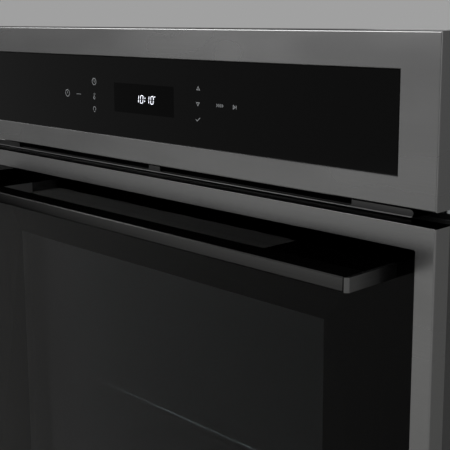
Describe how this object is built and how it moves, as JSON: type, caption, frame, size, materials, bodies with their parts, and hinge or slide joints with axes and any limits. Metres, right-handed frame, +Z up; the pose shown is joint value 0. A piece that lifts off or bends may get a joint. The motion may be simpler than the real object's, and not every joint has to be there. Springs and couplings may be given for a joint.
{
  "type": "built-in oven",
  "caption": "Built-in oven with a drop-down glass door, flat steel handle, touch glass panel, slotted air outlet, fan-assisted cavity, racks, wire shelf and tray.",
  "frame": {"origin": "middle of the underside of the chassis base, on the niche floor", "axes": "+Z up, +X to the right seen from the front, +Y towards the back of the niche; the door faces -Y"},
  "size_m": [0.596, 0.6237, 0.598],
  "materials": {
    "brushed_front_steel": "dark brushed stainless, fine long grain",
    "handle_steel": "black brushed stainless",
    "handle_cap_steel": "bead-blasted dark steel",
    "vent_steel": "satin dark coating",
    "black_glass": "polished black float glass",
    "door_glass": "polished smoked float glass",
    "clear_glass": "clear heat-resisting glass",
    "black_frit": "fired black ceramic print",
    "zinc_sheet": "hot-dip zinc coated sheet, fine spangle",
    "enamel": "vitreous enamel, dark with fine pale speckle",
    "frame_enamel": "satin black enamel",
    "door_black": "satin black powder coat",
    "mineral_wool": "felted mineral wool",
    "seal": "woven glass and silicone seal",
    "chrome_wire": "bright chromed wire",
    "heater_sheath": "heat-darkened steel sheath",
    "board_laminate": "green circuit laminate",
    "black_plastic": "black glass-filled nylon",
    "display": "black display block",
    "steel_part": "plain pressed steel",
    "spring_steel": "oil-tempered spring wire",
    "motor_steel": "stacked electrical steel",
    "motor_housing": "black motor paint",
    "fan_blade": "plain aluminium blades",
    "screw_zinc": "bright zinc-plated screws"
  },
  "bodies": {
    "oven": {"base_tray": "zinc_sheet", "side_panel_left": "zinc_sheet", "side_panel_right": "zinc_sheet", "top_cover": "zinc_sheet", "rear_cover": "zinc_sheet", "casing_screws": "screw_zinc", "upper_plate": "zinc_sheet", "front_frame": "frame_enamel", "cavity_liner": "enamel", "insulation_blanket": "mineral_wool", "door_gasket": "seal", "side_rack_left": "chrome_wire", "side_rack_right": "chrome_wire", "grill_element": "heater_sheath", "ring_element": "heater_sheath", "bottom_element": "heater_sheath", "rear_baffle": "enamel", "fan_motor_stator": "motor_steel", "fan_motor_bracket": "steel_part", "lamp_housing": "steel_part", "lamp_bulb": "clear_glass", "lamp_cover": "clear_glass", "temperature_probe": "steel_part", "air_duct": "zinc_sheet", "cooling_fan_housing": "zinc_sheet", "cooling_fan_motor": "motor_housing", "vent_strip": "vent_steel", "control_panel": "brushed_front_steel", "control_glass": "black_glass", "control_housing": "black_plastic", "touch_board": "board_laminate", "display_module": "display", "panel_carrier": "zinc_sheet", "power_board": "board_laminate", "terminal_block": "black_plastic", "cable_inlet": "black_plastic", "lower_trim": "frame_enamel", "hinge_claws": "steel_part", "hinge_receivers": "steel_part"},
    "door": {"door_frame": "brushed_front_steel", "door_outer_glass": "door_glass", "glass_mask": "black_frit", "door_middle_glass": "clear_glass", "door_inner_glass": "clear_glass", "door_side_posts": "door_black", "door_top_trim": "door_black", "door_bottom_channel": "door_black", "glass_clips": "spring_steel", "hinge_bodies": "steel_part", "hinge_pins": "steel_part", "hinge_springs": "spring_steel", "handle_bar": "handle_steel", "handle_arms": "handle_steel", "handle_end_caps": "handle_cap_steel", "handle_screws": "screw_zinc"},
    "convection_fan": {"convection_fan_wheel": "steel_part", "convection_fan_shaft": "steel_part"},
    "cooling_fan": {"cooling_fan_rotor": "fan_blade"},
    "shelf": {"wire_shelf": "chrome_wire"},
    "tray": {"baking_tray": "enamel"}
  },
  "joints": [
    {"name": "door_hinge", "type": "hinge", "parent": "oven", "child": "door", "pos_m": [0, -0.2795, 0.031], "axis": [1, 0, 0], "range_deg": [0, 90], "stiffness_Nm_per_rad": 9, "springref_deg": -14.32},
    {"name": "shelf_slide", "type": "slide", "parent": "oven", "child": "shelf", "axis": [0, -1, 0], "range_m": [0, 0.3]},
    {"name": "tray_slide", "type": "slide", "parent": "oven", "child": "tray", "axis": [0, -1, 0], "range_m": [0, 0.24]},
    {"name": "convection_fan_spin", "type": "hinge", "parent": "oven", "child": "convection_fan", "pos_m": [0, 0.14, 0.2405], "axis": [0, 1, 0], "continuous": true},
    {"name": "cooling_fan_spin", "type": "hinge", "parent": "oven", "child": "cooling_fan", "pos_m": [0, 0.19, 0.5147], "axis": [1, 0, 0], "continuous": true}
  ],
  "couplings": [
    {"joint": "shelf_slide", "follows": "door_hinge", "m_per_rad": 0.19},
    {"joint": "tray_slide", "follows": "door_hinge", "m_per_rad": 0.15}
  ]
}
